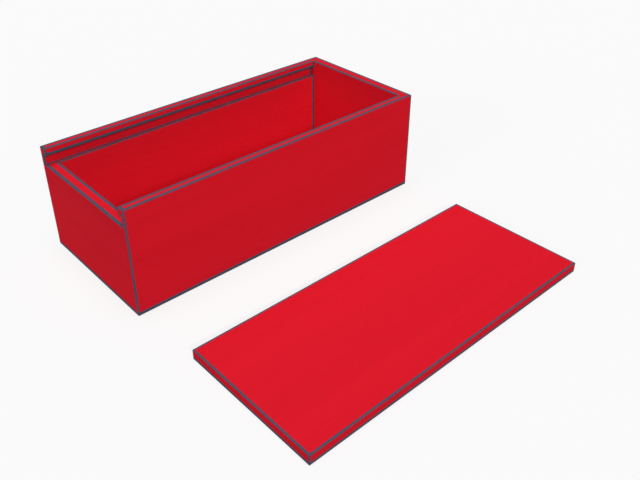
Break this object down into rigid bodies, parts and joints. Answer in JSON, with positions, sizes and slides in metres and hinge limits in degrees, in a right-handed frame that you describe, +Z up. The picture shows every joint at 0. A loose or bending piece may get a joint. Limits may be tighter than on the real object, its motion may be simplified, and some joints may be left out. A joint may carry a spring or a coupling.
{
  "type": "sliding lid box",
  "caption": "Open rectangular painted wooden box whose long sides are grooved inside for a flat sliding lid, with a low mouth end and the lid taken off and laid in front.",
  "frame": {"origin": "on the ground, at the middle of the box and its lid taken together", "axes": "+X from the mouth end to the stop end, +Y from the lid towards the box, +Z up"},
  "size_m": [0.16, 0.172, 0.0505],
  "materials": {
    "red_paint": "satin",
    "pin_steel": "satin",
    "wood_filler": "matte"
  },
  "bodies": {
    "box": {"near_side_board": "red_paint", "far_side_board": "red_paint", "mouth_end_board": "red_paint", "stop_end_board": "red_paint", "bottom_panel": "red_paint", "side_pin_1": "pin_steel", "side_pin_2": "pin_steel", "side_pin_3": "pin_steel", "side_pin_4": "pin_steel", "side_pin_5": "pin_steel", "side_pin_6": "pin_steel", "side_pin_7": "pin_steel", "side_pin_8": "pin_steel", "side_pin_9": "pin_steel", "side_pin_10": "pin_steel", "side_pin_11": "pin_steel", "side_pin_12": "pin_steel", "stopping_1": "wood_filler", "stopping_2": "wood_filler", "stopping_3": "wood_filler", "stopping_4": "wood_filler", "stopping_5": "wood_filler", "stopping_6": "wood_filler", "stopping_7": "wood_filler", "stopping_8": "wood_filler", "stopping_9": "wood_filler", "stopping_10": "wood_filler", "stopping_11": "wood_filler", "stopping_12": "wood_filler"},
    "lid": {"lid": "red_paint"}
  },
  "joints": [
    {"name": "lid_slide", "type": "slide", "parent": "box", "child": "lid", "axis": [-1, 0, 0], "range_m": [0, 0.1544]}
  ]
}
